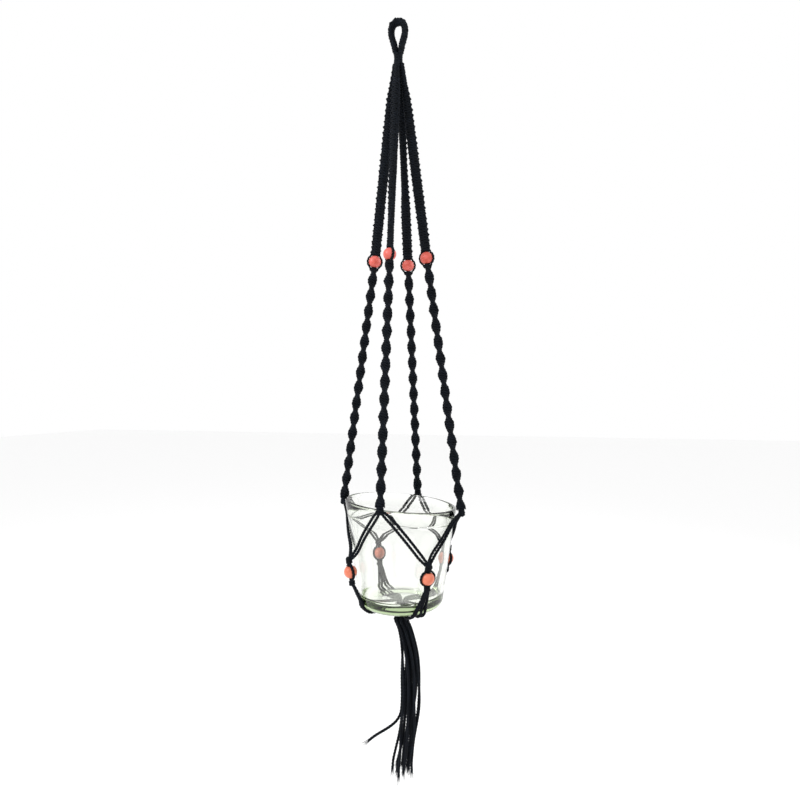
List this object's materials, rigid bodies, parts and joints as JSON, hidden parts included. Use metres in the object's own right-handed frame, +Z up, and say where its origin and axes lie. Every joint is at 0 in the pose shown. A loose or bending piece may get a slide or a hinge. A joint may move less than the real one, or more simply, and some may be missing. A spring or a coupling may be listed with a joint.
{
  "type": "hanging planter",
  "caption": "Macrame plant hanger in dark cord with coral beads, holding a tapered clear glass pot in a corded cradle above a tassel.",
  "frame": {"origin": "top of the inside of the hanging loop's eye, on the axis of the arms, where a hook bears", "axes": "+Z up along the hanging line, -Y towards the front arm, +X towards the right arm"},
  "size_m": [0.1238, 0.1226, 0.7163],
  "materials": {
    "cord": "matt twisted cotton cord, near-black navy",
    "bead_paint": "satin coral paint on turned wood",
    "glass": "clear pressed glass, pale green in the thick base"
  },
  "bodies": {
    "loop": {"hanging_loop": "cord"},
    "throat": {"throat_wrap": "cord"},
    "net": {"front_flat_sinnet": "cord", "front_spiral_sinnet": "cord", "front_crotch_knot": "cord", "left_flat_sinnet": "cord", "left_spiral_sinnet": "cord", "left_crotch_knot": "cord", "back_flat_sinnet": "cord", "back_spiral_sinnet": "cord", "back_crotch_knot": "cord", "right_flat_sinnet": "cord", "right_spiral_sinnet": "cord", "right_crotch_knot": "cord", "front_to_front_left_cords": "cord", "front_to_front_right_cords": "cord", "left_to_front_left_cords": "cord", "left_to_back_left_cords": "cord", "back_to_back_right_cords": "cord", "back_to_back_left_cords": "cord", "right_to_front_right_cords": "cord", "right_to_back_right_cords": "cord", "front_left_junction_knot": "cord", "front_left_lower_knot": "cord", "front_left_base_cords": "cord", "front_right_junction_knot": "cord", "front_right_lower_knot": "cord", "front_right_base_cords": "cord", "back_right_junction_knot": "cord", "back_right_lower_knot": "cord", "back_right_base_cords": "cord", "back_left_junction_knot": "cord", "back_left_lower_knot": "cord", "back_left_base_cords": "cord"},
    "pot": {"glass_pot": "glass"},
    "gather": {"gather_knot": "cord"},
    "tassel": {"tassel_strand_01": "cord", "tassel_strand_02": "cord", "tassel_strand_03": "cord", "tassel_strand_04": "cord", "tassel_strand_05": "cord", "tassel_strand_06": "cord", "tassel_strand_07": "cord", "tassel_strand_08": "cord", "tassel_strand_09": "cord", "tassel_strand_10": "cord", "tassel_strand_11": "cord", "tassel_strand_13": "cord", "tassel_strand_14": "cord", "tassel_strand_15": "cord", "tassel_strand_16": "cord", "loose_strand": "cord"},
    "front_upper_bead": {"front_upper_bead": "bead_paint"},
    "left_upper_bead": {"left_upper_bead": "bead_paint"},
    "back_upper_bead": {"back_upper_bead": "bead_paint"},
    "right_upper_bead": {"right_upper_bead": "bead_paint"},
    "front_left_lower_bead": {"front_left_lower_bead": "bead_paint"},
    "front_right_lower_bead": {"front_right_lower_bead": "bead_paint"},
    "back_right_lower_bead": {"back_right_lower_bead": "bead_paint"},
    "back_left_lower_bead": {"back_left_lower_bead": "bead_paint"}
  },
  "joints": [
    {"name": "hanger_twist", "type": "hinge", "parent": "loop", "child": "throat", "pos_m": [0, 0, -0.0323], "axis": [0, 0, 1], "range_deg": [-180, 180], "stiffness_Nm_per_rad": 0.0015},
    {"name": "hanger_swing", "type": "hinge", "parent": "throat", "child": "net", "pos_m": [0, 0, -0.0323], "axis": [1, 0, 0], "range_deg": [-35, 35]},
    {"name": "pot_lift", "type": "slide", "parent": "net", "child": "pot", "axis": [0, 0, 1], "range_m": [0, 0.005]},
    {"name": "gather_tip", "type": "hinge", "parent": "net", "child": "gather", "pos_m": [0, 0, -0.5576], "axis": [0, 1, 0], "range_deg": [-30, 30]},
    {"name": "tassel_swing", "type": "hinge", "parent": "gather", "child": "tassel", "pos_m": [0, 0, -0.5576], "axis": [1, 0, 0], "range_deg": [-30, 30]},
    {"name": "front_upper_bead_spin", "type": "hinge", "parent": "net", "child": "front_upper_bead", "pos_m": [0, -0.028, -0.2225], "axis": [0, 0.1303, 0.9915], "continuous": true},
    {"name": "left_upper_bead_spin", "type": "hinge", "parent": "net", "child": "left_upper_bead", "pos_m": [-0.0248, 0, -0.2225], "axis": [0.1303, 0, 0.9915], "continuous": true},
    {"name": "back_upper_bead_spin", "type": "hinge", "parent": "net", "child": "back_upper_bead", "pos_m": [0, 0.028, -0.2225], "axis": [0, -0.1303, 0.9915], "continuous": true},
    {"name": "right_upper_bead_spin", "type": "hinge", "parent": "net", "child": "right_upper_bead", "pos_m": [0.0269, 0, -0.2225], "axis": [-0.1303, 0, 0.9915], "continuous": true},
    {"name": "front_left_lower_bead_spin", "type": "hinge", "parent": "net", "child": "front_left_lower_bead", "pos_m": [-0.03649, -0.03649, -0.5115], "axis": [-0.0994, -0.0994, 0.9901], "continuous": true},
    {"name": "front_right_lower_bead_spin", "type": "hinge", "parent": "net", "child": "front_right_lower_bead", "pos_m": [0.03649, -0.03649, -0.5115], "axis": [0.0994, -0.0994, 0.9901], "continuous": true},
    {"name": "back_right_lower_bead_spin", "type": "hinge", "parent": "net", "child": "back_right_lower_bead", "pos_m": [0.03649, 0.03649, -0.5115], "axis": [0.0994, 0.0994, 0.9901], "continuous": true},
    {"name": "back_left_lower_bead_spin", "type": "hinge", "parent": "net", "child": "back_left_lower_bead", "pos_m": [-0.03649, 0.03649, -0.5115], "axis": [-0.0994, 0.0994, 0.9901], "continuous": true}
  ]
}
